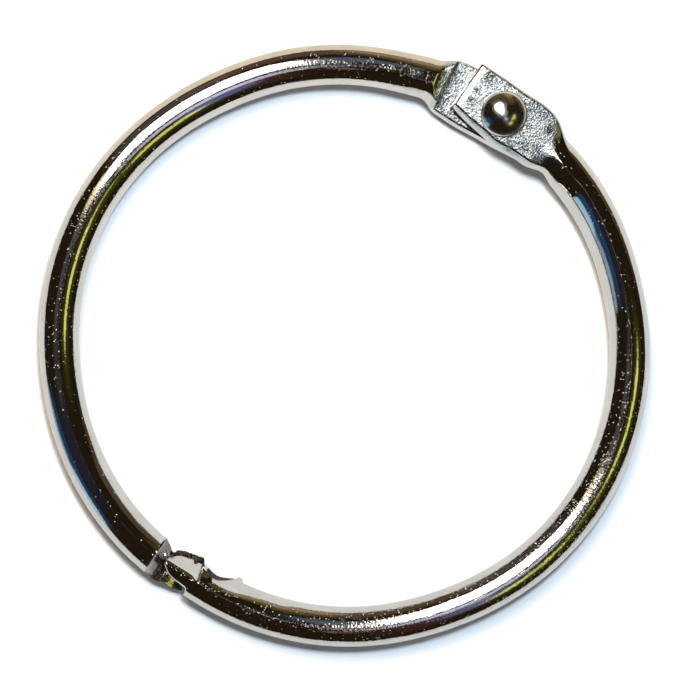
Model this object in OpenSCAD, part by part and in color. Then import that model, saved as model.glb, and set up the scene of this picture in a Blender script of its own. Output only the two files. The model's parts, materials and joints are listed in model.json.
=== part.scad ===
// Hinged loose-leaf ring: two half rings of bent wire, joined by a rivet through
// their flattened ends at +Y and by a hooked half-lap catch at -Y. The left half
// is at -X and the right half at +X. The origin is halfway from the rivet to the
// middle of the catch, and z = 0 is the middle of the wire.

/* [Wire] */
// Diameter of the wire
wire_d = 2.9; // [2.6:0.05:3.3]
// Radius of each half's centre line
arc_r = 20.1; // [14:0.05:40]
// How far the left half's arc is centred to the left of the hinge
left_shift = 0.2; // [0:0.05:1.5]
// How far the right half's arc is centred to the right of the hinge
right_shift = 0.95; // [0:0.05:1.5]
// How much nearer the catch the left arc is centred than the right arc
arc_slip = 0.3; // [0:0.05:0.4]

/* [Hinge leaves] */
// Thickness of each flattened end
leaf_t = 1.42; // [1.1:0.02:1.7]
// Width of a leaf beside the rivet
leaf_w = 4.6; // [4.2:0.1:5.4]
// Width of a leaf at its free end
leaf_end_w = 3.6; // [3.2:0.1:4.4]
// From the rivet to a leaf's free end
leaf_end = 3.4; // [2.6:0.1:3.8]
// From the rivet to where a leaf starts to narrow into its wire
leaf_body = 3.2; // [2.4:0.1:3.6]
// From the rivet to where the wire is round again
neck_end = 5.4; // [5.2:0.1:7]
// Angle that a leaf leans down towards its own wire
leaf_lean = 5; // [0:1:10]
// How far the rivet sits outside the arcs' mean centre line
rivet_out = 0.22; // [0:0.02:0.6]
// How far the lower leaf is set inwards of the upper one
lower_set_in = 0.2; // [0:0.05:0.4]
// Gap between the two leaves
leaf_gap = 0.04; // [0.02:0.01:0.1]
// Radius of the hollow corner between a leaf and its full wire
corner_r = 0.7; // [0.4:0.05:0.9]

/* [Rivet] */
// Diameter of the domed head
head_d = 3.2; // [2.8:0.1:3.8]
// Height of the domed head
head_h = 1.0; // [0.6:0.05:1.3]
// Diameter of the shank
shank_d = 2.0; // [1.4:0.1:2.4]
// Diameter of the peened tail
tail_d = 2.9; // [2.6:0.1:3.6]
// Height of the peened tail
tail_h = 0.4; // [0.2:0.05:0.6]
// Width of the slope round the peened tail
tail_slope = 0.3; // [0.1:0.05:0.5]
// Radial clearance of the shank in the upper leaf
shank_clearance = 0.04; // [0.02:0.01:0.08]
// Gap between the upper leaf and the head
head_gap = 0.03; // [0.02:0.01:0.08]

/* [Catch] */
// Half the length of the lap at the wire's top and bottom
lap_half = 1.75; // [1.5:0.05:1.9]
// Half the length of the lap at its seat
seat_half = 0.85; // [0.6:0.05:1]
// Half the height that the hooked seat climbs
seat_rise = 0.35; // [0.15:0.05:0.5]
// How far each catch face is set back along and across the wire
catch_gap = 0.04; // [0.02:0.01:0.08]
// Length of the rounded part of the nose
nose_len = 1.73; // [1.5:0.01:1.9]
// From the middle of the lap to where the nose has its full width
nose_root = 0.4; // [0.2:0.05:0.7]
// How far the nose's side lies outside the wire's centre line
nose_out = 0.85; // [0.6:0.05:1.1]
// How far the nose's tip lies inside the wire's centre line
nose_in = 0.37; // [0.2:0.01:0.5]
// From the middle of the lap to the end of the open pocket beside the nose
pocket_end = 1.4; // [1:0.05:2]
// Angle of the nose's inner flank from level
flank_angle = 47; // [42:1:60]
// How far the top of the flank lies inside the wire's centre line
flank_in = 0.3; // [0.2:0.05:0.6]
// How far the tongue's foot lies inside the wire's centre line
tongue_in = 0.94; // [0.7:0.02:1.2]
// How far the notch behind the nose lies inside the wire's centre line
notch_in = 1.05; // [0.8:0.05:1.2]
// From the middle of the lap to the notch
notch_start = 1.25; // [1:0.05:1.6]
// Length of the notch
notch_len = 1.15; // [0.8:0.05:1.6]
// How far the pressed lip reaches inside the wire's centre line
lip_in = 2.05; // [1.7:0.05:2.2]
// Length of the pressed lip, from the notch to its far end
lip_len = 1.9; // [1.4:0.1:2.4]

/* [Hidden] */
$fn = 96;
wire_r = wire_d / 2;
rivet_y = arc_r + rivet_out / 2;                // from the origin to the rivet, and to the lap
arc_y = arc_r - rivet_y;                        // mean height of the arcs' centres
leaf_z = leaf_gap / 2;                          // from z = 0 to a leaf's flat inner face
head_r = (pow(head_d / 2, 2) + pow(head_h, 2)) / (2 * head_h);
wire_start = neck_end - corner_r / 2;            // where the neck meets the bent wire
notch_end = notch_start + notch_len;
lip_end = notch_end + lip_len;
LIP_LAND = 0.35;                                // length of the lip's level end
LIP_EDGE = 0.15;                                // half the thickness of the lip's edge
PAST = 3 * wire_d;                              // a cutter reaches this far past the wire
OVER = 0.2;                                     // and a catch face this far over it
NOSE_STEPS = 12;
SLICE = 0.02;                                    // thickness of a slice that a hull joins

// Angle from straight up or down at which the centre line is x to the side
function side_angle(x) = asin(x / arc_r);

// Rounded outer side of the nose: a quarter of an ellipse, as [along, outward]
function nose_curve() = [for (i = [0:NOSE_STEPS]) let (a = 90 * i / NOSE_STEPS)
    [nose_root - nose_len * cos(a), (nose_out + nose_in) * sin(a) - nose_in]];

// ---- frames ----

// At the rivet, leaning to follow the wire of the half that is being drawn
module at_leaf() {
    translate([0, rivet_y, 0]) rotate([0, 0, -leaf_lean]) children();
}

// At the middle of the lap, with y pointing out of the ring
module at_lap() {
    translate([0, -rivet_y, 0]) mirror([0, 1, 0]) children();
}

// Stands a flat drawing up, y as height, and runs it through the wire both ways
module side_cut() {
    rotate([90, 0, 0]) linear_extrude(height = 2 * PAST, center = true) children();
}

// Runs a flat drawing through the wire from below to above
module plan_cut() {
    linear_extrude(height = 2 * PAST, center = true) children();
}

// ---- one half, drawn as the right one with the upper leaf ----

module half_blank(shift, rise, set_in) {
    difference() {
        union() {
            wire_arc(shift, rise);
            leaf(set_in);
            neck(shift, rise, set_in);
        }
        at_leaf() other_leaf_space();
        translate([-leaf_end - PAST, rivet_y - PAST, -PAST]) cube([PAST, 2 * PAST, 2 * PAST]);
        at_lap() lap_space();
    }
}

// Round wire from the neck to just past the lap
module wire_arc(shift, rise) {
    bottom = -90 - side_angle(lap_half + shift + OVER);
    top = 90 - side_angle(wire_start - shift);
    translate([shift, arc_y + rise, 0]) rotate([0, 0, bottom])
        rotate_extrude(angle = top - bottom) translate([arc_r, 0]) circle(d = wire_d);
}

// Thin slice across a leaf that is w wide, at x along it, with rounded sides
module leaf_slice(x, w, set_in) {
    translate([x, -set_in, leaf_z + leaf_t / 2]) rotate([90, 0, 90])
        linear_extrude(height = SLICE) hull()
            for (side = [-1, 1]) translate([side * (w - leaf_t) / 2, 0])
                circle(d = leaf_t, $fn = 16);
}

// Flattened end of the wire
module leaf(set_in) {
    at_leaf() hull() {
        leaf_slice(-leaf_end - OVER, leaf_end_w, set_in);
        leaf_slice(0, leaf_w, set_in);
        leaf_slice(leaf_body, leaf_w, set_in);
    }
}

// Blend from the leaf to the round wire
module neck(shift, rise, set_in) {
    hull() {
        at_leaf() leaf_slice(leaf_body, leaf_w, set_in);
        translate([shift, arc_y + rise, 0]) rotate([0, 0, 90 - side_angle(wire_start - shift)])
            translate([arc_r, 0, 0]) rotate([90, 0, 0])
                cylinder(d = wire_d + 2 * SLICE, h = SLICE, center = true, $fn = 32);
    }
}

// Room for the other leaf, up to a hollow corner at the full wire
module other_leaf_space() {
    corner_x = neck_end - corner_r;
    translate([0, 0, leaf_z]) side_cut() {
        translate([-PAST, -PAST]) square([PAST + corner_x, PAST]);
        translate([-PAST, -PAST]) square([PAST + neck_end, PAST - corner_r]);
        translate([corner_x, -corner_r]) circle(r = corner_r);
    }
}

// Room for the other half at the lap: all that is below and left of the hooked seat
module lap_space() {
    over = OVER * (lap_half - seat_half) / (wire_r + seat_rise);
    top = wire_r + OVER;
    translate([catch_gap, 0, catch_gap]) side_cut() polygon([
        [-lap_half - over, top], [-seat_half, -seat_rise],
        [seat_half, seat_rise], [lap_half + over, -top],
        [-PAST, -top], [-PAST, top]]);
}

// ---- shaping of each half's end at the lap ----

// Everything beside the nose of the right half, seen from above
module beside_nose() {
    tip = nose_curve()[0];
    plan_cut() {
        polygon(concat([[-PAST, tip.y]], nose_curve(),
            [[pocket_end, nose_out], [pocket_end, PAST], [-PAST, PAST]]));
        polygon([[-PAST, tip.y], tip, [notch_start, -wire_r], [notch_start, -PAST],
            [-PAST, -PAST]]);
    }
}

// Slope of the nose's inner flank, as far as the notch
module beside_flank() {
    translate([-PAST, -flank_in, wire_r]) rotate([-flank_angle, 0, 0])
        mirror([0, 1, 0]) cube([PAST + notch_start, PAST, PAST]);
}

// Notch behind the nose, whose far side slants out to the tip of the lip
module notch() {
    plan_cut() polygon([
        [notch_start, -PAST], [notch_start, -notch_in], [notch_end, -notch_in],
        [lip_end - LIP_LAND, -lip_in], [lip_end - LIP_LAND, -PAST]]);
}

// Wedge that was pressed inwards out of the wire, past the notch
module lip() {
    high = 25;
    low = 40;
    translate([notch_end, 0, 0]) rotate([90, 0, 90]) linear_extrude(height = lip_len) polygon([
        wire_r * [-sin(high), cos(high)], [-lip_in, LIP_EDGE], [-lip_in, -LIP_EDGE],
        wire_r * [-sin(low), -cos(low)]]);
}

// Inner side of the left half's tongue, cut away towards the shoulder
module beside_tongue() {
    plan_cut() polygon([
        [-seat_half, -tongue_in], [seat_half, -wire_r], [seat_half, -PAST], [-seat_half, -PAST]]);
}

// ---- parts ----

module left_half() {
    color("silver") difference() {
        mirror([1, 0, 0]) mirror([0, 0, 1]) half_blank(left_shift, -arc_slip / 2, lower_set_in);
        at_lap() beside_tongue();
        translate([0, rivet_y, 0]) cylinder(d = shank_d, h = 2 * PAST, center = true);
    }
}

module right_half() {
    color("gainsboro") difference() {
        union() {
            half_blank(right_shift, arc_slip / 2, 0);
            at_lap() lip();
        }
        at_lap() {
            beside_nose();
            beside_flank();
            notch();
        }
        translate([0, rivet_y, 0])
            cylinder(d = shank_d + 2 * shank_clearance, h = 2 * PAST, center = true);
    }
}

module hinge_rivet() {
    head_z = leaf_z + leaf_t + head_gap;
    tail_z = -leaf_z - leaf_t;
    color("darkgray") translate([0, rivet_y, 0]) {
        intersection() {
            translate([0, 0, head_z + head_h - head_r]) sphere(r = head_r);
            translate([0, 0, head_z]) cylinder(r = head_r, h = 2 * head_h);
        }
        translate([0, 0, tail_z - tail_h / 2])
            cylinder(d = shank_d, h = head_z - tail_z + tail_h);
        translate([0, 0, tail_z - tail_h])
            cylinder(d1 = tail_d - 2 * tail_slope, d2 = tail_d, h = tail_h);
    }
}

left_half();
right_half();
hinge_rivet();
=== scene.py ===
"""Hinged loose-leaf ring of bright nickel-plated wire.

Two half rings of bent wire turn on a domed rivet through their flattened ends, and close in a
hooked half-lap catch that was pinched and sheared. Each half is one surface: rays leave a line
that runs inside the metal and stop where the metal ends, so a half is a function of two
parameters, how far round the ring and which way across the wire. The rivet is turned.
Lengths are in millimetres until a mesh is made.
"""
import json
import math

import bpy
import numpy as np
from mathutils import Matrix, Vector


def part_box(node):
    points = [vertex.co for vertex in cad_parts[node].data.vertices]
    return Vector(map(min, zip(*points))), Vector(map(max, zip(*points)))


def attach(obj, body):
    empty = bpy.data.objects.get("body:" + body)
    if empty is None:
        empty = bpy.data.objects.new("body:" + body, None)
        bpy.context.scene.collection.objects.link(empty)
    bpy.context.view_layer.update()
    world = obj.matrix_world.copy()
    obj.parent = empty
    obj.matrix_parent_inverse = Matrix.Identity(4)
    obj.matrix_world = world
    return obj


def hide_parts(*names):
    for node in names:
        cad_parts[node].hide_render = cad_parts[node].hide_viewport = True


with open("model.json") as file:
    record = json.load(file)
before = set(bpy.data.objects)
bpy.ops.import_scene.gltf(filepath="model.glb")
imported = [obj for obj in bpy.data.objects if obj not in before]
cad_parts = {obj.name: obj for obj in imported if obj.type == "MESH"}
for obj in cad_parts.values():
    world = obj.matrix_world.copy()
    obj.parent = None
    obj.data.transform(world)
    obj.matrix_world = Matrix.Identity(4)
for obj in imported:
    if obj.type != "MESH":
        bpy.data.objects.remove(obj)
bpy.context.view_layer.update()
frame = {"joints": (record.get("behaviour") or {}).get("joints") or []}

MM = 0.001

# ---- sizes that the frame doesn't hold, in millimetres ----
WIRE_R = 1.45
PRESS_R = 3.2             # the faces that the presses left on the wire
ARC_R = 20.1              # both halves' centre line
ARC_SLIP = 0.3            # the left arc is centred this much nearer the catch
LEAF_T = 1.42
LEAF_GAP = 0.04
UPPER_END = 3.43          # rivet to the upper leaf's free end
LOWER_END = 3.4           # rivet to the lower leaf's free end
LEAF_START = 4.7          # rivet to the wall at the leaf's root
CORNER_R = 0.06
SHANK_R = 1.0
HEAD_R = 1.69
HEAD_GAP = 0.03
HEAD_SHIFT = (-0.1, -0.09)     # the head was set slightly off the shank
APEX_SHIFT = (0.1, -0.05)      # and its dome leans
TAIL_R = 1.45
TAIL_SLOPE = 0.3
CATCH_GAP = 0.04
LAP_HALF = 1.75           # half the lap's length, measured where the wire is cut through
SEAT_HALF = 0.85          # half the length of the seat between the two shear faces
SEAT_RISE = 0.35          # how far the seat's ends lie above and below the middle
SHOULDER_T = -1.75        # where the shoulder behind the tongue starts
SHOULDER_RUN = 0.9
FLOOR_HALF = 600.0
CAMERA_HEIGHT = 300.0
VIEW_WIDTH = 50.55
VIEW_MIDDLE = (0.88, -0.11, 0)
VIEW_UP = (-0.586, 0.810, 0)   # turns the hinge to the upper right
CREASE_ANGLE = 38              # degrees, past which an edge stays crisp

# ---- places, from the frame ----
RIVET_Y = frame["joints"][0]["pos_m"][1] / MM      # the rivet, and the catch the other way
left_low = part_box("left_half")[0] / MM
right_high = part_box("right_half")[1] / MM
rivet_low, rivet_high = (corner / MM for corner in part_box("hinge_rivet"))
LEFT_X = left_low.x + ARC_R + WIRE_R
LEFT_Y = left_low.y + ARC_R + WIRE_R
RIGHT_X = right_high.x - ARC_R - WIRE_R
RIGHT_Y = LEFT_Y + ARC_SLIP
LEAF_LOW = LEAF_GAP / 2
LEAF_TOP = LEAF_LOW + LEAF_T
LEAF_MID = LEAF_LOW + LEAF_T / 2


# ---- forms as signed distances: below zero inside the metal ----

def smooth_max(a, b, k):
    """The larger of two distances, with the edge between them rounded over about k."""
    h = np.maximum(k - np.abs(a - b), 0) / k
    return np.maximum(a, b) + h * h * k / 4


def smooth_min(a, b, k):
    """The smaller of two distances, with the hollow between them filled over about k."""
    return -smooth_max(-a, -b, k)


def hollow_corner(a, b, r):
    """Smaller of two distances with a true fillet of radius r where they meet."""
    return np.maximum(r, np.minimum(a, b)) - np.hypot(np.maximum(r - a, 0), np.maximum(r - b, 0))


def ramp(x, start, end):
    """0 before start, 1 after end, smooth between."""
    t = np.clip((x - start) / (end - start), 0, 1)
    return t * t * (3 - 2 * t)


def bump_at(x, place, width):
    """A bell of height 1 at place."""
    return np.exp(-((x - place) / width) ** 2)


def azimuth_at(x, centre_x):
    """Azimuth in degrees, on the hinge's side, where an arc with this centre passes x."""
    return math.degrees(math.acos((x - centre_x) / ARC_R))


def curve_through(points, x):
    """Cubic curve through (x, y) points, with the mean slope of its neighbours at each one."""
    px, py = np.array(points, float).T
    slope = np.gradient(py, px)
    i = np.clip(np.searchsorted(px, x) - 1, 0, len(px) - 2)
    step = px[i + 1] - px[i]
    t = np.clip((x - px[i]) / step, 0, 1)
    inside = ((2 * t - 3) * t * t + 1) * py[i] + (3 - 2 * t) * t * t * py[i + 1] \
        + ((t - 2) * t + 1) * t * step * slope[i] + (t - 1) * t * t * step * slope[i + 1]
    return inside + slope[0] * np.minimum(x - px[0], 0) + slope[-1] * np.maximum(x - px[-1], 0)


def ripple(x, seed, size):
    """Uneven waviness between about -1 and 1, whose longest wave is about size."""
    rng = np.random.default_rng(seed)
    phases = rng.uniform(0, 2 * math.pi, 4)
    waves = zip((1, 1.7, 2.9, 4.3), phases)
    return sum(np.sin(2 * math.pi * x * n / size + phase) / (n ** 0.7) for n, phase in waves) / 2.2


def wire(x, y, z, centre, bend, swell, flat, lean=0):
    """Wire on a circle: distance from the circle, less the wire's radius. Its section leans
    outwards by lean for each unit of height. A press left a much rounder face, of radius
    PRESS_R, on the inner flank 50 degrees from the top, to the depth flat (none below zero).
    bend, swell and flat depend on the azimuth in degrees."""
    r = np.hypot(x - centre[0], y - centre[1])
    azimuth = (np.degrees(np.arctan2(y - centre[1], x - centre[0])) + 180) % 360 - 180
    out = r - ARC_R - bend(azimuth) - lean * z
    reach = PRESS_R - WIRE_R + flat(azimuth)
    pressed = np.hypot(out - 0.766 * reach, z + 0.643 * reach) - PRESS_R
    return smooth_max(np.hypot(out, z) - WIRE_R - swell(azimuth), pressed, 0.12)


def leaf_blank(a, n, z, inner, outer, flank_in, flank_out):
    """Pressed end of the wire before its lower half is cut away. a runs from the rivet towards
    the wire, n inwards. The sides bulge: they lean in by flank above and below the middle.
    The outer face falls away slightly to the free end, and rolls over at its edge."""
    lean = np.sqrt((z - LEAF_MID) ** 2 + 0.02) / (LEAF_T / 2)
    side_in = (n - curve_through(inner, a) + flank_in * (lean - 0.2)) * 0.85
    side_out = (curve_through(outer, a) - n + flank_out * (lean - 0.2)) * 0.97
    side = smooth_max(side_in, side_out, 0.1)
    fall = 0.16 * (np.maximum(0.6 - a, 0) / 4.0) ** 1.3 + 0.4 * np.maximum(-a - 2.95, 0) ** 2
    return smooth_max(side, np.maximum(z - LEAF_TOP + fall, -z - LEAF_TOP), 0.09)


def root_place(a, n):
    """Place along a leaf, measured square to the slanting line across its root."""
    return a + 0.268 * (n - 1.15)


def hinge_end(blank, round_wire, a, n, z, blend, end, end_tilt, wall_tilt):
    """Joins the leaf to the wire between the two places in blend, and cuts away the room for
    the other leaf, up to a steep wall. Behind the wall the wire's face rises to full height in
    an S. The free end is sheared across at end, out of square by end_tilt."""
    pressed = 1 - ramp(a, *blend)
    body = round_wire * (1 - pressed) + blank * pressed
    along = root_place(a, n)
    drop = 0.22 * ramp(-along, -5.6, -5.03) + 0.05 * np.maximum(5.0 - along, 0)
    body = smooth_max(body, (-z - WIRE_R + drop) * 0.9, 0.04)
    wall = LEAF_START + wall_tilt * (0.67 - n) - a - 0.05 * (z - LEAF_LOW)
    face = LEAF_LOW - z + 0.03 * np.maximum(a - 3.45, 0)
    body = smooth_max(body, hollow_corner(face, wall, CORNER_R), 0.08)
    return smooth_max(body, -end + end_tilt * n - a, 0.03)


def lap_faces(t, z):
    """Distances past the three faces of the hooked lap, each positive on the left half's side:
    the shear face above, the seat that climbs to the right, and the shear face below."""
    run, fall = LAP_HALF - SEAT_HALF, WIRE_R + SEAT_RISE
    shear = np.array((-fall, -run)) / math.hypot(run, fall)
    seat = np.array((SEAT_RISE, -SEAT_HALF)) / math.hypot(SEAT_HALF, SEAT_RISE)
    above = shear[0] * (t + SEAT_HALF) + shear[1] * (z + SEAT_RISE)
    along = seat[0] * t + seat[1] * z
    below = shear[0] * (t - SEAT_HALF) + shear[1] * (z - SEAT_RISE)
    return above, along, below


def lap_dip(t, o):
    """How much lower the seat lies under the nose's inner side."""
    return 0.42 * ramp(t, -0.2, 0.7) * ramp(-o, 0.75, 1.2)


# ---- the right half: upper leaf, and the nose of the catch ----

# outlines of the upper leaf's two sides: (from the rivet to the wire, inwards)
UPPER_INNER = [(-3.45, 1.85), (-2.4, 2.05), (-0.5, 2.27), (0.7, 2.4), (1.9, 2.25), (3.6, 2.18),
               (4.94, 1.88)]
UPPER_OUTER = [(-3.4, -2.02), (0, -2.12), (2.9, -2.08), (4.0, -1.65), (4.8, -1.15)]


def right_bend(azimuth):
    """How far the right wire bends out of its circle."""
    return 0.08 * bump_at(azimuth, 0, 22) - 0.13 * bump_at(azimuth, -36, 16) \
        - 0.1 * bump_at(azimuth, 48, 12)


def right_swell(azimuth):
    """The wire spreads a little where it was pressed."""
    return 0.1 * ramp(azimuth, 52, 74)


def right_flat(azimuth):
    """Depth of the flat that the hinge's press left on the right wire."""
    return 0.32 * ramp(azimuth, 28, 44) * (1 - ramp(azimuth, 70, 77)) - 0.12


def nose_inner(t):
    """Inner outline of the nose at its foot."""
    outline = [(-1.33, -0.37), (-0.8, -0.5), (-0.37, -0.87), (0.3, -1.1), (0.82, -1.29), (1.41, -1.26)]
    return curve_through(outline, t)


def nose_outside(t, o, height):
    """Distance outside the nose's quarter ellipse, whose half axes shrink with the height (0 at
    the seat, 1 at the top of the wire) as a belly does."""
    belly = np.sqrt(1 - height ** 2)
    long, wide = 1.37 + 0.36 * belly, 0.87 + 0.35 * belly
    u, v = np.minimum(t - 0.4, 0), np.maximum(o + 0.37, 0)
    k = np.hypot(u / long, v / wide) + 1e-6
    return (k - 1) * k / (np.hypot(u / long ** 2, v / wide ** 2) + 1e-6)


def right_body(x, y, z):
    """Distance outside the right half."""
    a, n = x, RIVET_Y - y
    t, o = x, -RIVET_Y - y
    round_wire = wire(x, y, z, (RIGHT_X, RIGHT_Y), right_bend, right_swell, right_flat, 0.05)
    blank = leaf_blank(a, n, z, UPPER_INNER, UPPER_OUTER, 0.55, 0.2)
    hinge = hinge_end(blank, round_wire, a, n, z, (3.2, 5.7), UPPER_END, 0.045, 0)
    return np.where(y > 0, hinge, nose_end(round_wire, t, o, z))


def nose_end(body, t, o, z):
    """The catch end of the right half: a rounded nose over the left half's tongue."""
    height = np.clip((z + SEAT_RISE) / (WIRE_R + SEAT_RISE), 0, 1)
    pocket = hollow_corner(nose_outside(t, o, height), 1.42 - t, 0.25)
    body = smooth_max(body, pocket, 0.06)
    # a nub left by the shear
    nub = np.hypot((t - 4.19) / 0.28, (o + 1.84) / 0.27) - 1
    body = smooth_min(body, np.maximum(nub * 0.27, np.abs(z + 0.2) - 0.8), 0.1)
    # the slope pinched into the nose's inner side, its end crisp at the notch
    slope = -(o + 0.1 + 0.06 * np.minimum(t, 1)) * 0.79 + (z - WIRE_R) * 0.61
    flank = np.minimum(np.maximum(slope, nose_inner(t) - o), (t + 0.95) * 0.7)
    softness = 0.22 - 0.16 * ramp(t, 1.2, 1.6)
    body = smooth_max(body, np.minimum(flank, notch_start(o) - t), softness)
    # the notch
    body = smooth_max(body, np.minimum(notch_edge(t, z) - o, 3.94 - t), 0.03)
    # the slope pinched behind it, which runs out along the wire
    near = np.clip(t, -5, 9)
    centre_o = np.sqrt(ARC_R ** 2 - (near - RIGHT_X) ** 2) - RIVET_Y - RIGHT_Y
    pinch = -(o - centre_o) * 0.82 + z * 0.57 - 1.127 - 0.33 * ramp(t, 3.2, 6.8)
    body = smooth_max(body, np.minimum(pinch, np.minimum((t - 2.6) * 0.35, 8 - t)), 0.2)
    above, along, below = lap_faces(t - CATCH_GAP, z - CATCH_GAP)
    body = smooth_max(body, smooth_max(above, np.minimum(along - lap_dip(t, o), below), 0.06), 0.06)
    # a burr at the very tip, its top tipped outwards
    burr = np.maximum(z - 0.98 - 0.19 * (t + 1.28) - 0.06 * (o + 0.35), 0.5 - z)
    return smooth_min(body, smooth_max(np.hypot(t + 1.28, o + 0.35) - 0.12, burr, 0.03), 0.03)


def notch_start(o):
    """How far along the wire the notch starts, further on its outer side."""
    return 1.7 + 0.36 * (o + 0.45)


def notch_edge(t, z):
    """Inner outline of the sheared notch. Its wall spreads inwards below the pinched slope."""
    outline = [(1.3, -1.3), (1.9, -1.14), (2.36, -1.06), (2.77, -1.08), (3.2, -1.27),
               (3.63, -1.55), (3.95, -1.83)]
    return curve_through(outline, t) - 0.18 * np.clip(0.95 - z, 0, 0.9)


# ---- the left half: lower leaf, and the tongue of the catch ----

# outlines of the lower leaf's two sides: (from the rivet to the wire, inwards)
LOWER_INNER = [(-3.4, 2.0), (-0.5, 2.45), (0.8, 2.59), (2.6, 2.82), (4.37, 2.9), (5.2, 2.97),
               (6.2, 2.9)]
LOWER_OUTER = [(-3.4, -1.6), (0, -1.9), (2.5, -1.85), (3.76, -1.6), (4.68, -1.5), (5.2, -1.6),
               (6.2, -1.5)]


def left_bend(azimuth):
    """How far the left wire bends out of its circle."""
    a = azimuth % 360
    return 0.06 * bump_at(a, 258, 14) - 0.08 * bump_at(a, 222, 12) + 0.1 * bump_at(a, 186, 18) \
        - 0.1 * bump_at(a, 150, 14) + 0.15 * ramp(-a, -113, -103)


def left_swell(azimuth):
    """The wire spreads a little where it was pressed."""
    return 0.06 * ramp(-(azimuth % 360), -118, -106)


def left_flat(azimuth):
    """Depth of the flats that the presses left on the left wire, at the catch and the hinge."""
    a = azimuth % 360
    return 0.27 * ramp(a, 233, 246) + 0.15 * ramp(-a, -118, -108) - 0.12


def left_body(x, y, z):
    """Distance outside the left half."""
    a, n, down = -x, RIVET_Y - y, -z
    t, o = x, -RIVET_Y - y
    round_wire = wire(x, y, z, (LEFT_X, LEFT_Y), left_bend, left_swell, left_flat)
    blank = leaf_blank(a, n, down, LOWER_INNER, LOWER_OUTER, 0.26, 0.2)
    hinge = hinge_end(blank, round_wire, a, n, down, (4.2, 6.2), LOWER_END, 0, 0.138)
    return np.where(y > 0, hinge, tongue_end(round_wire, t, o, z))


def tongue_end(body, t, o, z):
    """The catch end of the left half: a tongue under the nose, its inner rim spread and torn."""
    # the metal that the press spread inwards
    spread_out = np.sqrt(((t - 0.75) / 1.5) ** 2 + ((o + 0.75) / 1.05) ** 2 + ((z + 0.55) / 0.6) ** 2) - 1
    body = smooth_min(body, spread_out * 0.6, 0.15)
    # a burr along the top of the shoulder
    edge = curve_through([(-1.45, -1.86), (-1.1, -1.95), (-0.8, -2.0), (-0.1, -1.88)], o)
    across = np.maximum(edge - t, t + 1.0)
    beyond = np.maximum(np.abs(z - 0.06) - 1.36, np.abs(o + 0.7) - 0.7)
    body = smooth_min(body, np.maximum(across, beyond), 0.02)
    # the torn rim
    rim = [(-1.9, -1.39), (-1.35, -1.16), (-0.9, -0.94), (-0.64, -1.14), (-0.18, -1.35), (0.39, -1.52),
           (0.8, -1.64), (1.11, -1.74), (1.25, -1.68), (1.39, -1.5), (1.72, -1.32), (1.9, -1.12),
           (2.0, -1.0)]
    torn = (0.035 * ripple(t, 3, 0.7) + 0.02 * ripple(t, 5, 0.21)) * ramp(t, -0.7, -0.5)
    undercut = 0.12 * np.where(t < -0.75, 1 - z, -0.3 - z)
    body = smooth_max(body, np.minimum(curve_through(rim, t) + torn + undercut - o, t + 1.9), 0.03)
    # the outer side, drawn in
    outer = [(-0.8, 1.62), (-0.14, 1.46), (0.76, 1.36), (1.39, 1.18), (2.2, 1.1)]
    body = smooth_max(body, np.minimum(o - curve_through(outer, t), t + 0.85), 0.06)
    # the seat, the shoulder behind it, and the ledge beside the nose
    along, below = lap_faces(t + CATCH_GAP, z + CATCH_GAP)[1:]
    face = shoulder_face(t, o, z)
    floor = 0.1 - 0.05 * (t + 0.9) - 0.14 * np.maximum(t + 0.9, 0) ** 2
    scoop = np.minimum(z - floor, np.minimum(o - 0.2, face))
    beside = np.maximum(z - floor, 0.01 - nose_outside(t, o, 0))
    lap = np.maximum(np.minimum(np.minimum(1.2 * lap_dip(t, o) - along, face), beside), scoop)
    return smooth_max(body, smooth_max(-below, lap, 0.06), 0.05)


def shoulder_face(t, o, z):
    """Distance past the sheared shoulder behind the tongue. It starts along one straight line
    across the wire and runs down evenly to the seat, lower towards the wire's outer side."""
    top = np.sqrt(np.maximum(WIRE_R ** 2 - np.maximum(o - 0.08, 0) ** 2, 0))
    face = top - (top + SEAT_RISE) * (t - SHOULDER_T) / SHOULDER_RUN
    return np.minimum((z - face) * 0.5, t - SHOULDER_T)


# ---- surfaces ----

def spread(*stretches):
    """Places along a line, each stretch (start, end, step) evenly filled."""
    parts = [np.linspace(start, end, max(int(round(abs(end - start) / step)), 1), endpoint=False)
             for start, end, step in stretches]
    return np.concatenate(parts + [[stretches[-1][1]]])


def first_crossing(body, start, ray, reach=3.6, steps=48, halvings=14):
    """Distance along each ray to its first crossing out of a body: found by walking, sharpened
    by halving."""
    hit = np.full(ray.shape[:-1], reach)
    near = np.zeros(ray.shape[:-1])
    found = np.zeros(ray.shape[:-1], bool)
    for reached in np.linspace(0, reach, steps + 1)[1:]:
        outside = body(*np.moveaxis(start + reached * ray, -1, 0)) > 0
        hit[outside & ~found] = reached
        found |= outside
        near[~found] = reached
    for _ in range(halvings):
        middle = (near + hit) / 2
        outside = body(*np.moveaxis(start + middle[..., None] * ray, -1, 0)) > 0
        hit = np.where(outside, middle, hit)
        near = np.where(outside, near, middle)
    return (near + hit) / 2


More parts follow.
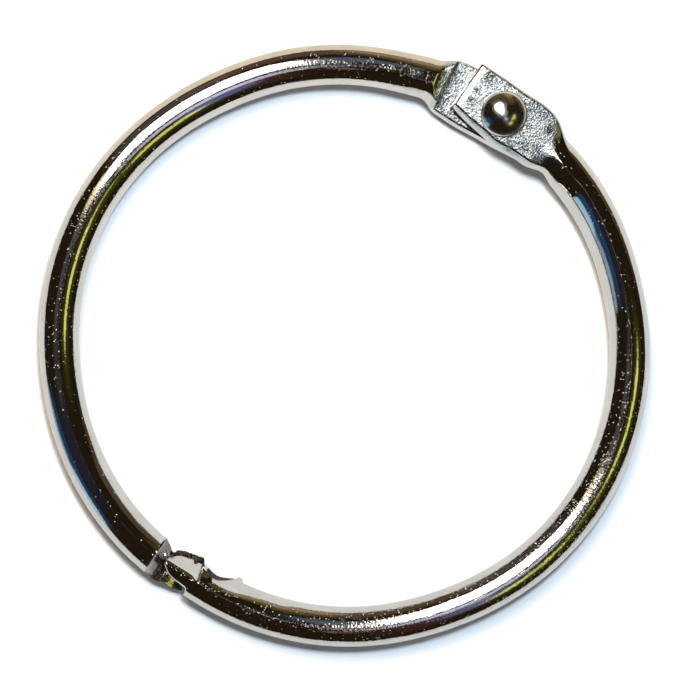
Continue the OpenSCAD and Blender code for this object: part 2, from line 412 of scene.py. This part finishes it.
def ray_surface(body, centre, azimuths, hub, around=176, fan=26):
    """Surface of a body as a function of (place along it, direction across it).

    For each azimuth a hub point lies inside the body, hub(azimuth) giving how far it sits
    outside the arc, its height, and the half width and half height that spread the rays. Rays
    run from it across the wire in every direction, and each stops where the metal ends. At both
    ends more rays fan out from the last hub until they point straight along the wire."""
    lead = np.linspace(math.pi / 2, 0, fan, endpoint=False)[1:]
    first, last = [azimuths[0]] * len(lead), [azimuths[-1]] * len(lead)
    azimuth = np.radians(np.concatenate([first, azimuths, last]))
    swing = np.concatenate([-lead, np.zeros(len(azimuths)), lead[::-1]])
    hubs = hub(np.degrees(azimuth))
    out, high, half_w, half_h = (np.broadcast_to(v, azimuth.shape)[:, None] for v in hubs)
    turn = np.linspace(0, 2 * math.pi, around, endpoint=False)[None]
    radial = np.stack([np.cos(azimuth), np.sin(azimuth), 0 * azimuth], -1)[:, None]
    tangent = np.stack([-np.sin(azimuth), np.cos(azimuth), 0 * azimuth], -1)[:, None]
    ahead = np.sign(azimuths[-1] - azimuths[0]) * tangent
    up = np.array([0.0, 0.0, 1.0])
    across = (half_w * np.cos(turn))[..., None] * radial + (half_h * np.sin(turn))[..., None] * up
    across /= np.linalg.norm(across, axis=-1, keepdims=True)
    ray = np.cos(swing)[:, None, None] * across + np.sin(swing)[:, None, None] * ahead
    start = np.array([*centre, 0.0]) + (ARC_R + out)[..., None] * radial + high[..., None] * up
    start = np.broadcast_to(start, ray.shape)
    points = start + first_crossing(body, start, ray)[..., None] * ray
    ends = []
    for row, sign in ((0, -1), (-1, 1)):
        tip_ray = sign * ahead[row]
        tip_start = start[row, :1]
        ends.append(tip_start + first_crossing(body, tip_start, tip_ray)[..., None] * tip_ray)
    return points, ends


def closed_mesh(name, points, ends):
    """Mesh of rows of rings closed by a pole at each end, faces outwards, with a UV map of
    (length along, way round) in metres."""
    rows, around = points.shape[:2]
    grid = np.arange(rows * around).reshape(rows, around)
    a, b = grid[:-1], grid[1:]
    quads = np.stack([a, np.roll(a, -1, 1), np.roll(b, -1, 1), b], -1).reshape(-1, 4)
    first, last = rows * around, rows * around + 1
    top = np.stack([np.full(around, first), np.roll(grid[0], -1), grid[0]], -1)
    bottom = np.stack([np.full(around, last), grid[-1], np.roll(grid[-1], -1)], -1)
    co = np.concatenate([points.reshape(-1, 3), ends[0], ends[1]])
    corner = np.moveaxis(co[quads], 1, 0)
    area = np.cross(corner[2] - corner[0], corner[3] - corner[1])
    inside_out = ((corner[0] + corner[2]) * area).sum() < 0
    if inside_out:
        quads, top, bottom = quads[:, ::-1], top[:, ::-1], bottom[:, ::-1]
    mesh = bpy.data.meshes.new(name)
    mesh.from_pydata((co * MM).tolist(), [], quads.tolist() + top.tolist() + bottom.tolist())
    mesh.update()
    step = np.linalg.norm(np.diff(points.mean(1), axis=0), axis=1)
    along = np.concatenate([[0], np.cumsum(step)])
    u = np.repeat(along, around)
    v = np.tile(np.arange(around) / around * 2 * math.pi * WIRE_R, rows)
    uv = np.stack([np.append(u, [0, along[-1]]), np.append(v, [0, 0])], -1) * MM
    loops = np.empty(len(mesh.loops), np.int32)
    mesh.loops.foreach_get("vertex_index", loops)
    layer = mesh.uv_layers.new(name="wire")
    layer.data.foreach_set("uv", uv[loops].astype(np.float32).ravel())
    piece = bpy.data.objects.new(name, mesh)
    bpy.context.scene.collection.objects.link(piece)
    return piece, co


def shade(piece, angle):
    """Smooth shading, with edges sharper than the angle kept crisp."""
    piece.data.shade_smooth()
    piece.data.set_sharp_from_angle(angle=math.radians(angle))


def mark(piece, name, weight):
    """Stores a number per vertex for the materials."""
    layer = piece.data.attributes.new(name, "FLOAT", "POINT")
    layer.data.foreach_set("value", np.clip(weight, 0, 1).astype(np.float32))


def near_face(distance, width=0.05):
    """1 on a cut face, where its distance is zero, and 0 away from it."""
    return np.exp(-(distance / width) ** 2)


def dints(places, x, n):
    """Bells at places (x, n, width) on a leaf's face."""
    return sum(np.exp(-((x - px) ** 2 + (n - pn) ** 2) / width ** 2) for px, pn, width in places)


def scuffs(places, azimuth):
    """Bells at places (azimuth, width, strength) round the wire, over a little wear everywhere."""
    return 0.1 + sum(strength * bump_at(azimuth, middle, width) for middle, width, strength in places)


def make_right_half():
    """The right half, from the upper leaf's free end round to the tip of the nose."""
    def hub(azimuth):
        """The wire's middle, drawn to the leaf's middle at the hinge and up into the nose."""
        a = RIGHT_X + ARC_R * np.cos(np.radians(azimuth))
        at_hinge = np.sin(np.radians(azimuth)) > 0
        pressed = (1 - ramp(a, 4.4, 6.6)) * at_hinge
        nosed = (1 - ramp(a, 0.6, 3.2)) * ~at_hinge
        out = pressed * (RIVET_Y - RIGHT_Y - ARC_R - 0.1) + nosed * 0.05
        high = pressed * LEAF_MID + nosed * 0.62
        return out, high, WIRE_R + 0.75 * pressed - 0.6 * nosed, WIRE_R - 0.74 * pressed - 0.6 * nosed

    neck = azimuth_at(7, RIGHT_X)
    azimuths = spread((azimuth_at(-2.5, RIGHT_X), neck, 0.155), (neck, -neck, 1.14),
                      (-neck, -azimuth_at(-0.55, RIGHT_X), 0.145))
    points, ends = ray_surface(right_body, (RIGHT_X, RIGHT_Y), azimuths, hub)
    piece, co = closed_mesh("right_wire", points, ends)
    x, y, z = co.T
    t, o = x, -RIVET_Y - y
    above, along, below = lap_faces(t - CATCH_GAP, z - CATCH_GAP)
    worn_end = 1 - 0.85 * ramp(-x, 2.7, 3.2)
    mark(piece, "pressed", (1 - ramp(x, 3.4, 5.2)) * (y > 0) * ramp(z, 0.9, 1.25) * worn_end)
    mark(piece, "sheared", (near_face(above) + near_face(np.minimum(along, below))) * (y < 0))
    notch = near_face(notch_edge(t, z) - o, 0.08) * ramp(t, 1.75, 1.9) * (t < 3.96)
    step = near_face(t - notch_start(o) - 0.02, 0.12) * (o > -1.3) * (o < -0.15) * 0.6
    root = bump_at(t, -0.9, 0.22) * bump_at(o, -0.6, 0.2)
    mark(piece, "torn", (notch + step + root) * (y < 0))
    # Places of deep dints, which the hammered leaf's painted shade also makes darkest
    dint_and_shade_spots = [(-2.6, -1.5, 0.5), (-2.8, -0.2, 0.35), (-2.7, 0.6, 0.3), (2.5, 1.0, 0.5),
               (-1.0, -2.1, 0.4), (3.2, -0.9, 0.5), (1.6, 2.2, 0.3)]
    mark(piece, "dints_and_painted_shade", 0.18 + 0.8 * dints(dint_and_shade_spots, x, RIVET_Y - y))
    azimuth = np.degrees(np.arctan2(y - RIGHT_Y, x - RIGHT_X))
    worn = [(2, 14, 0.9), (-25, 12, 0.6), (-50, 9, 0.9), (28, 12, 0.3), (-72, 14, 0.35)]
    mark(piece, "scuffed", scuffs(worn, azimuth))
    crease = [(-0.6, 0.1), (-0.14, 0.02), (1.68, -0.11), (3.28, -0.44), (4.08, -0.65), (5.5, -1.25)]
    tip = bump_at(t, -1.25, 0.09) * bump_at(o, -0.33, 0.09)
    rough_edge = bump_at(o, curve_through(crease, t), 0.07) * (t > -0.7) * (t < 5)
    mark(piece, "burred", (rough_edge + 2 * tip) * (y < 0) * (z > 0.4))
    return piece


def make_left_half():
    """The left half, from the lower leaf's free end round to the end of the tongue."""
    def hub(azimuth):
        """The wire's middle, drawn to the leaf's middle at the hinge and down into the tongue."""
        a = -(LEFT_X + ARC_R * np.cos(np.radians(azimuth)))
        at_hinge = np.sin(np.radians(azimuth)) > 0
        pressed = (1 - ramp(a, 4.4, 6.6)) * at_hinge
        lapped = (1 - ramp(a, -0.6, 3.0)) * ~at_hinge
        out = pressed * (RIVET_Y - LEFT_Y - ARC_R - 0.35)
        high = -pressed * LEAF_MID - lapped * 0.78
        return out, high, WIRE_R + 0.75 * pressed, WIRE_R - 0.74 * pressed - 0.6 * lapped

    neck, below_neck = azimuth_at(-7.4, LEFT_X), 360 - azimuth_at(-5, LEFT_X)
    azimuths = spread((azimuth_at(2.5, LEFT_X), neck, 0.155), (neck, below_neck, 1.14),
                      (below_neck, 360 - azimuth_at(0.95, LEFT_X), 0.145))
    points, ends = ray_surface(left_body, (LEFT_X, LEFT_Y), azimuths, hub)
    piece, co = closed_mesh("left_wire", points, ends)
    x, y, z = co.T
    t, o = x, -RIVET_Y - y
    n = RIVET_Y - y
    below = lap_faces(t + CATCH_GAP, z + CATCH_GAP)[2]
    uncovered = np.maximum(ramp(n - curve_through(UPPER_INNER, x), 0.14, 0.24), ramp(-x, 3.4, 3.6))
    leaf = 1 - ramp(root_place(-x, n), 5.1, 5.35)
    mark(piece, "pressed", leaf * uncovered * (y > 0) * ramp(z, -0.3, -0.1))
    mark(piece, "sheared", (near_face(shoulder_face(t, o, z)) + near_face(below)) * (y < 0))
    rim = (x > -1.05) * ramp(-o, 0.4, 0.6)
    # Painted shade: the pocket floor beside the nose, marked as torn so that it renders dark and rough
    foot = ramp(t, -1.3, -1.1) * (1 - ramp(t, -0.65, -0.45)) * ramp(o, 0.2, 0.4) * (z > -0.9)
    # Painted shade: a dark stripe on the shoulder's shear face, where a step's wall would be, marked as
    # torn so that it renders dark brown
    painted_shade_stripe = near_face(o - 0.12 - 0.3 * (t + 1.8), 0.27) * (t > -1.74) * (t < -0.8) * (z > -0.9)
    mark(piece, "torn", (rim + foot + painted_shade_stripe) * (y < 0))
    mark(piece, "burred", np.zeros(len(x)))
    # The dint mark also sets how dark the hammered leaf's painted shade is
    mark(piece, "dints_and_painted_shade", 0.3 + 0.3 * bump_at(-x, 4.35, 0.5) * ramp(-n, 0.3, 1.2))
    azimuth = np.degrees(np.arctan2(y - LEFT_Y, x - LEFT_X)) % 360
    worn = [(110, 9, 0.35), (130, 10, 0.25), (180, 13, 0.3), (208, 16, 0.25)]
    mark(piece, "scuffed", scuffs(worn, azimuth))
    return piece


def make_rivet():
    """The rivet, turned: a profile of (radius, height) carried round. The dome's slope grows
    evenly from its middle, then quickly over the rim, and its height is the running sum."""
    towards_rim = np.linspace(1, 0, 30) ** 2
    r = np.concatenate([np.linspace(0, 1.35, 40, endpoint=False), HEAD_R - 0.34 * towards_rim])
    slope = np.radians(50 * np.minimum(r / 1.6, 1) ** 1.3 + 30 * ramp(r, 1.55, HEAD_R))
    fall = np.concatenate([[0], np.cumsum(np.diff(r) * np.tan((slope[1:] + slope[:-1]) / 2))])
    seat = LEAF_TOP + HEAD_GAP
    dome_h = rivet_high.z - seat
    dome = np.stack([r, rivet_high.z - fall * (dome_h - 0.02) / fall[-1]], -1)
    tail_z = -LEAF_TOP
    below = np.array([
        (HEAD_R, seat + 0.02), (HEAD_R - 0.03, seat), (SHANK_R + 0.05, seat), (SHANK_R, seat - 0.02),
        (SHANK_R, 0), (SHANK_R, tail_z + 0.02), (SHANK_R + 0.02, tail_z), (TAIL_R - 0.04, tail_z),
        (TAIL_R, tail_z - 0.03), (TAIL_R - 0.03, tail_z - 0.08),
        (TAIL_R - TAIL_SLOPE, rivet_low.z + 0.05), (TAIL_R - TAIL_SLOPE - 0.08, rivet_low.z),
        (0.4, rivet_low.z), (0.2, rivet_low.z)])
    profile = np.concatenate([dome[1:], below])
    turn = np.linspace(0, 2 * math.pi, 128, endpoint=False)
    ring = np.stack([np.cos(turn), np.sin(turn)], -1)
    in_head = (profile[:, :1] > SHANK_R + 0.1) & (profile[:, 1:] > LEAF_TOP)
    in_head[:len(dome) - 1] = True
    lean = np.maximum(1 - (profile[:, :1] / 1.45) ** 2, 0) ** 1.5
    lean[len(dome) - 1:] = 0
    centre = in_head * np.array(HEAD_SHIFT) + lean * np.array(APEX_SHIFT) + [0, RIVET_Y]
    points = np.concatenate([
        profile[:, None, :1] * ring[None] + centre[:, None],
        np.broadcast_to(profile[:, None, 1:], (len(profile), len(turn), 1))], -1)
    apex = np.array(HEAD_SHIFT) + APEX_SHIFT + [0, RIVET_Y]
    ends = [np.array([[*apex, rivet_high.z]]), np.array([[0, RIVET_Y, rivet_low.z]])]
    return closed_mesh("rivet", points, ends)[0]


# ---- shader maths ----

class Value:
    """A number that varies over a surface. Arithmetic on it adds Math nodes to its tree."""

    def __init__(self, tree, socket):
        self.tree, self.socket = tree, socket

    def math(self, operation, *others):
        """One Math node on this value and up to two others."""
        made = add(self.tree, "ShaderNodeMath", {"operation": operation},
                   dict(enumerate((self, *others))))
        return Value(self.tree, made.outputs[0])

    def __add__(self, other):
        return self.math("ADD", other)

    __radd__ = __add__

    def __sub__(self, other):
        return self.math("SUBTRACT", other)

    def __rsub__(self, other):
        return (self * -1).math("ADD", other)

    def __mul__(self, other):
        return self.math("MULTIPLY", other)

    __rmul__ = __mul__

    def __truediv__(self, other):
        return self.math("DIVIDE", other)

    def __pow__(self, other):
        return self.math("POWER", other)

    def ramp(self, start, end):
        """0 before start, 1 after end, smooth between."""
        made = add(self.tree, "ShaderNodeMapRange", {"interpolation_type": "SMOOTHSTEP"}, {
            "Value": self, "From Min": start, "From Max": end})
        return Value(self.tree, made.outputs["Result"])


def add(tree, kind, settings=None, values=None):
    """Adds a node: its settings first, then each socket's value or link."""
    made = tree.nodes.new(kind)
    for key, value in (settings or {}).items():
        setattr(made, key, value)
    for key, value in (values or {}).items():
        socket = made.inputs[key]
        if isinstance(value, Value):
            tree.links.new(value.socket, socket)
        elif isinstance(value, bpy.types.NodeSocket):
            tree.links.new(value, socket)
        elif isinstance(value, (tuple, list)) and len(value) == 3 and socket.type == "RGBA":
            socket.default_value = (*value, 1)
        else:
            socket.default_value = value
    return made


def blend_colours(tree, factor, low, high):
    """Colour between low and high."""
    made = add(tree, "ShaderNodeMix", {"data_type": "RGBA"}, {"Factor": factor, 6: low, 7: high})
    return made.outputs[2]


def noise(tree, vector, size, detail=2.0, stretch=None, rough=0.5):
    """Noise with features of about size, in metres, around 0.5."""
    if stretch:
        scaled = add(tree, "ShaderNodeVectorMath", {"operation": "MULTIPLY"}, {0: vector, 1: stretch})
        vector = scaled.outputs[0]
    made = add(tree, "ShaderNodeTexNoise", {}, {
        "Vector": vector, "Scale": 1 / size, "Detail": detail, "Roughness": rough})
    return Value(tree, made.outputs["Fac"])


def specks(tree, vector, cell, radius, density):
    """Scattered round specks: one chance in each cell of size cell, in metres, kept where its
    own random number is under the density. 1 at a speck's middle, 0 past radius cells away."""
    made = add(tree, "ShaderNodeTexVoronoi", {}, {"Vector": vector, "Scale": 1 / cell})
    parts = add(tree, "ShaderNodeSeparateColor", {}, {"Color": made.outputs["Color"]})
    kept = (density - Value(tree, parts.outputs[0])).math("GREATER_THAN", 0.0)
    return (1 - Value(tree, made.outputs["Distance"]).ramp(0.0, radius)) * kept


def new_material(name):
    """An empty node material with its output's surface input."""
    made = bpy.data.materials.new(name)
    made.use_nodes = True
    made.node_tree.nodes.clear()
    out = made.node_tree.nodes.new("ShaderNodeOutputMaterial")
    return made, made.node_tree, out.inputs["Surface"]


def make_wire_finish():
    """Bright nickel plate with a fine orange peel, pits and draw marks; hammered where it was
    pressed flat, with painted shade in its hollows and painted light on its raised spots;
    streaked where it was sheared; brown where it was torn, and brown as painted shade where
    the torn mark is laid on a stripe of the shoulder and on the pocket beside the nose."""
    made, tree, surface = new_material("nickel_wire_finish")
    place = add(tree, "ShaderNodeTexCoord").outputs["Object"]
    run = add(tree, "ShaderNodeUVMap", {"uv_map": "wire"}).outputs["UV"]

    def weight(name):
        """The number of this name that mark() stored."""
        return Value(tree, add(tree, "ShaderNodeAttribute", {"attribute_name": name}).outputs["Fac"])

    pressed, sheared, torn = weight("pressed"), weight("sheared"), weight("torn")
    burred, dints_and_painted_shade, scuffed = weight("burred"), weight("dints_and_painted_shade"), weight("scuffed")
    peel = noise(tree, place, 0.0003, 2.0)
    patchy = noise(tree, place, 0.0025, 2.0).ramp(0.46, 0.66)
    grain = noise(tree, place, 0.00015, 1.0)
    draw = noise(tree, run, 0.00016, 1.0, stretch=(0.06, 1.0, 1.0)).ramp(0.6, 0.68)
    teeth = noise(tree, run, 0.00015, 1.0, stretch=(1.0, 0.25, 1.0))
    dent = noise(tree, place, 0.0011, 1.0)
    hammer = noise(tree, place, 0.00013, 2.0, rough=0.6)
    streak = noise(tree, place, 0.00012, 2.0, stretch=(1.0, 1.0, 0.12))
    smooth = 1 - pressed.math("MAXIMUM", sheared).math("MAXIMUM", torn)
    density = (patchy * 0.12 + scuffed * 0.8 + burred * 1.5) * smooth + 0.02
    speck = specks(tree, place, 0.00018, 0.32, density)
    scuff = (grain - 0.5) * 0.008 + (teeth - 0.5) * 0.0006 + draw * 0.003
    blows = (dent - 0.5) * 0.04 + (hammer - 0.5) * (dints_and_painted_shade * 0.07 + 0.02)
    height = (peel * 0.0012 + scuffed * scuff) * smooth + pressed * blows \
        + sheared * (streak - 0.5) * 0.014 + torn * (hammer - 0.5) * 0.07 \
        + speck * (burred * 0.012 + 0.016)
    bump = add(tree, "ShaderNodeBump", {}, {"Strength": 1.0, "Distance": MM, "Height": height})
    rough = 0.06 + pressed * 0.09 + sheared * 0.36 + torn * 0.3
    tint = noise(tree, place, 0.002, 2.0).ramp(0.35, 0.7)
    bright = blend_colours(tree, tint, (0.70, 0.675, 0.63), (0.76, 0.735, 0.70))
    # The hammered leaf's colour paints light and shade: painted shade in dark blue-grey in the hollows,
    # darkest at the deep dints, and painted light on the raised spots
    hollow = blend_colours(tree, dints_and_painted_shade, (0.34, 0.39, 0.43), (0.05, 0.06, 0.085))
    painted_lit_raised = (hammer * 0.7 + dent * 0.3 - dints_and_painted_shade * 0.1).ramp(0.36, 0.5)
    beaten_painted_light_and_shade = blend_colours(tree, painted_lit_raised, hollow, (0.62, 0.68, 0.70))
    leaf = blend_colours(tree, pressed, bright, beaten_painted_light_and_shade)
    shorn = blend_colours(tree, streak.ramp(0.4, 0.6), (0.50, 0.46, 0.41), (0.74, 0.70, 0.64))
    cut = blend_colours(tree, sheared * 0.9, leaf, shorn)
    rust = blend_colours(tree, hammer.ramp(0.45, 0.65), (0.015, 0.01, 0.006), (0.12, 0.085, 0.055))
    metal = add(tree, "ShaderNodeBsdfPrincipled", {}, {
        "Base Color": cut, "Metallic": 1 - sheared * 0.5, "Roughness": rough, "Normal": bump.outputs[0]})
    dull = add(tree, "ShaderNodeBsdfPrincipled", {}, {
        "Base Color": rust, "Roughness": 0.8, "Specular IOR Level": 0.1, "Normal": bump.outputs[0]})
    both = add(tree, "ShaderNodeMixShader", {}, {0: torn * 1.5, 1: metal.outputs[0], 2: dull.outputs[0]})
    tree.links.new(both.outputs[0], surface)
    return made


def make_rivet_finish():
    """Polished nickel with a few fine scratches."""
    made, tree, surface = new_material("nickel_rivet_finish")
    place = add(tree, "ShaderNodeTexCoord").outputs["Object"]
    peel = noise(tree, place, 0.0005, 2.0)
    scratch = noise(tree, place, 0.00012, 1.0, stretch=(0.08, 1.0, 1.0))
    height = peel * 0.002 + scratch * 0.0006
    bump = add(tree, "ShaderNodeBump", {}, {"Strength": 1.0, "Distance": MM, "Height": height})
    tint = noise(tree, place, 0.0012, 2.0).ramp(0.35, 0.7)
    metal = add(tree, "ShaderNodeBsdfPrincipled", {}, {
        "Base Color": blend_colours(tree, tint, (0.72, 0.69, 0.65), (0.78, 0.75, 0.71)),
        "Metallic": 1.0, "Roughness": 0.15 + peel * 0.05, "Normal": bump.outputs[0]})
    tree.links.new(metal.outputs[0], surface)
    return made


# ---- surroundings ----

def toward(azimuth, zenith):
    """Unit vector at an azimuth round +Z and an angle from straight up, in degrees."""
    a, e = math.radians(azimuth), math.radians(zenith)
    return np.array([math.cos(a) * math.sin(e), math.sin(a) * math.sin(e), math.cos(e)])


# name: (azimuth, zenith, half width, half height) in degrees, softness, colour, strength
ROOM_LIGHTS = {
    "window": ((156.3, 24, 21.5, 20), 0.2, (1.0, 0.99, 0.96), 7.0),
    "window_edge": ((180, 25, 8, 13), 0.8, (1.0, 0.86, 0.55), 1.3),
    "window_haze": ((123, 26, 10, 14), 0.9, (0.075, 0.105, 0.15), 1.0),
    "window_foot": ((163, 58, 14, 24), 0.9, (0.48, 0.40, 0.42), 0.13),
    "violet_core": ((-26, 8, 24, 9), 0.8, (0.80, 0.82, 1.0), 0.75),
    "tan_wall": ((113, 86, 12, 16), 0.9, (0.22, 0.17, 0.11), 1.0),
    "tube": ((23, 36, 15, 7), 0.5, (0.85, 0.90, 0.26), 0.95),
    "tube_end": ((5, 32, 7, 3.5), 0.6, (0.85, 0.90, 0.26), 0.5),
    "tube_halo": ((19, 37, 25, 22), 0.9, (0.30, 0.32, 0.0), 0.1),
    "second_tube": ((-16, 41, 10, 7.5), 0.5, (0.85, 0.90, 0.26), 0.85),
    "second_halo": ((-15, 44, 14, 22), 0.9, (0.30, 0.32, 0.0), 0.1),
    "violet_streak": ((-29, 16, 8, 30), 0.9, (0.35, 0.42, 0.90), 0.3),
    "red_haze": ((-40, 34, 7, 26), 0.9, (0.03, 0.009, 0.008), 1.0),
    "pink_spot": ((-56, 24, 1.6, 7), 0.8, (0.8, 0.5, 0.4), 0.4),
    "blue_card": ((232.5, 91, 8.5, 12), 0.6, (0.42, 0.60, 0.72), 0.65),
    "bright_card": ((247, 90, 6.8, 15), 0.6, (0.45, 0.72, 0.92), 0.9),
    "blue_shade": ((240, 68, 14, 14), 0.9, (0.003, 0.045, 0.13), 1.0),
    "grey_haze": ((200, 17, 14, 9), 0.9, (0.055, 0.055, 0.075), 1.0),
    "navy_shade": ((238, 26, 12, 24), 0.9, (0.0, 0.007, 0.028), 1.0),
    "teal_haze": ((219, 18, 9, 12), 0.9, (0.02, 0.03, 0.027), 1.0),
    "warm_wall": ((128, 82, 28, 25), 0.9, (0.09, 0.06, 0.035), 1.0),
    "olive_wall": ((100, 58, 16, 15), 0.9, (0.075, 0.068, 0.008), 1.0),
    "far_wall": ((70, 88, 20, 18), 0.9, (0.07, 0.05, 0.03), 1.0),
}
ROOM_DARK = (0.018, 0.012, 0.006)
PLAIN_SKY = (0.075, 0.077, 0.09)
LIGHT_SQUARENESS = 2.8          # 2 is an ellipse, more is squarer


def light_path(tree):
    """1 for rays that come straight from the camera, for reflected ones and for refracted ones."""
    outputs = add(tree, "ShaderNodeLightPath").outputs
    rays = ("Is Camera Ray", "Is Glossy Ray", "Is Transmission Ray")
    return tuple(Value(tree, outputs[ray]) for ray in rays)


def make_world():
    """White to the camera and a plain pale sky to matt surfaces. Metal sees a dark warm room
    with a window, a strip light and a few coloured glows in the directions above."""
    world = bpy.data.worlds.new("room")
    bpy.context.scene.world = world
    world.use_nodes = True
    tree = world.node_tree
    tree.nodes.clear()
    out = tree.nodes.new("ShaderNodeOutputWorld")
    direction = add(tree, "ShaderNodeTexCoord").outputs["Generated"]
    parts = add(tree, "ShaderNodeSeparateXYZ", {}, {0: direction}).outputs
    east, north, up = (Value(tree, part) for part in parts)
    zenith = up.math("ARCCOSINE") * (180 / math.pi)
    colour = ROOM_DARK
    for (azimuth, middle, half, tall), soft, tone, strength in ROOM_LIGHTS.values():
        c, s = math.cos(math.radians(azimuth)), math.sin(math.radians(azimuth))
        turn = (north * c - east * s).math("ARCTAN2", east * c + north * s) * (180 / math.pi)
        aside = turn.math("ABSOLUTE") / half
        lift = (zenith - middle).math("ABSOLUTE") / tall
        reach = aside ** LIGHT_SQUARENESS + lift ** LIGHT_SQUARENESS
        patch = 1 - reach.ramp(1 - soft, 1 + soft)
        lit = tuple(strength * part for part in tone)
        colour = add(tree, "ShaderNodeMix", {"data_type": "RGBA", "blend_type": "ADD"}, {
            "Factor": patch, 6: colour, 7: lit}).outputs[2]
    camera, glossy, through = light_path(tree)
    plain = blend_colours(tree, glossy, PLAIN_SKY, colour)
    seen = blend_colours(tree, camera.math("MAXIMUM", through), plain, (1.0, 1.0, 1.0))
    back = add(tree, "ShaderNodeBackground", {}, {"Color": seen, "Strength": 1.0})
    tree.links.new(back.outputs[0], out.inputs["Surface"])


def make_floor():
    """Pale floor that touches the rivet's tail and the undersides of both wires at the catch,
    so it tips very slightly against the ring: a plane whose height falls evenly with y. Metal
    sees it dimmer than the camera does, and warmer past the hinge's side of the ring: painted
    reflection tones that only reflections show."""
    x, y = FLOOR_HALF * np.array([(-1, -1), (1, -1), (1, 1), (-1, 1)]).T
    z = rivet_low.z + (RIVET_Y - y) * (-WIRE_R - rivet_low.z) / (RIVET_Y + ARC_R)
    mesh = bpy.data.meshes.new("floor")
    mesh.from_pydata((np.stack([x, y, z], -1) * MM).tolist(), [], [(0, 1, 2, 3)])
    piece = bpy.data.objects.new("floor", mesh)
    bpy.context.scene.collection.objects.link(piece)
    made, tree, surface = new_material("floor_white")
    camera, glossy = light_path(tree)[:2]
    place = add(tree, "ShaderNodeTexCoord").outputs["Object"]
    parts = add(tree, "ShaderNodeSeparateXYZ", {}, {0: place}).outputs
    east, north = (Value(tree, part) * (1 / MM) for part in parts[:2])
    # Painted reflection: metal sees the floor as a dimmer grey, and as warm tan past the hinge's side
    warm = (north * VIEW_UP[1] + east * VIEW_UP[0]).ramp(14.0, 21.0)
    pale = blend_colours(tree, warm, (0.76, 0.76, 0.76), (0.78, 0.68, 0.56))
    tone = blend_colours(tree, glossy, (1.0, 1.0, 1.0), pale)
    matt = add(tree, "ShaderNodeBsdfDiffuse", {}, {"Color": tone})
    glow = add(tree, "ShaderNodeEmission", {}, {"Color": (1, 1, 1), "Strength": camera * 0.03})
    both = add(tree, "ShaderNodeAddShader", {}, {0: matt.outputs[0], 1: glow.outputs[0]})
    tree.links.new(both.outputs[0], surface)
    mesh.materials.append(made)


def aim(thing, place, target=(0, 0, 0), up=(0, 0, 1)):
    """Puts a lamp or camera at a place in millimetres, looking at the target."""
    back = (Vector(place) - Vector(target)).normalized()
    right = Vector(up).cross(back).normalized()
    turn = Matrix((right, back.cross(right), back)).transposed().to_4x4()
    thing.matrix_world = Matrix.Translation(Vector(place) * MM) @ turn


def make_lamp(name, azimuth, zenith, distance, size, power, colour):
    """Soft square lamp that reflections don't show."""
    data = bpy.data.lights.new(name, "AREA")
    data.size = size * MM
    data.energy = power
    data.color = colour
    lamp = bpy.data.objects.new(name, data)
    bpy.context.scene.collection.objects.link(lamp)
    aim(lamp, toward(azimuth, zenith) * distance, up=(0.02, 1, 0.03))
    lamp.visible_glossy = False


def make_camera():
    """Looks straight down, turned so that the hinge is at the upper right."""
    data = bpy.data.cameras.new("camera")
    data.sensor_width = 36.0
    data.lens = data.sensor_width * CAMERA_HEIGHT / VIEW_WIDTH
    data.clip_start, data.clip_end = 0.01, 10
    camera = bpy.data.objects.new("camera", data)
    bpy.context.scene.collection.objects.link(camera)
    aim(camera, np.array(VIEW_MIDDLE) + [0, 0, CAMERA_HEIGHT], VIEW_MIDDLE, up=VIEW_UP)
    bpy.context.scene.camera = camera


right = make_right_half()
left = make_left_half()
rivet = make_rivet()
wire_finish = make_wire_finish()
rivet_finish = make_rivet_finish()
for piece, finish, body, node, slot in (
        (right, wire_finish, "right_half", "right_half", "nickel_wire"),
        (left, wire_finish, "left_half", "left_half", "nickel_wire"),
        (rivet, rivet_finish, "left_half", "hinge_rivet", "nickel_rivet")):
    shade(piece, CREASE_ANGLE)
    piece.data.materials.append(finish)
    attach(piece, body)
    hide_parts(node)

make_world()
make_floor()
make_lamp("window", 140, 26, 300, 100, 0.52, (1.0, 0.80, 0.56))
make_lamp("sky", 100, 15, 300, 42, 0.69, (0.70, 0.86, 1.0))
make_camera()
bpy.context.scene.view_settings.view_transform = "Standard"
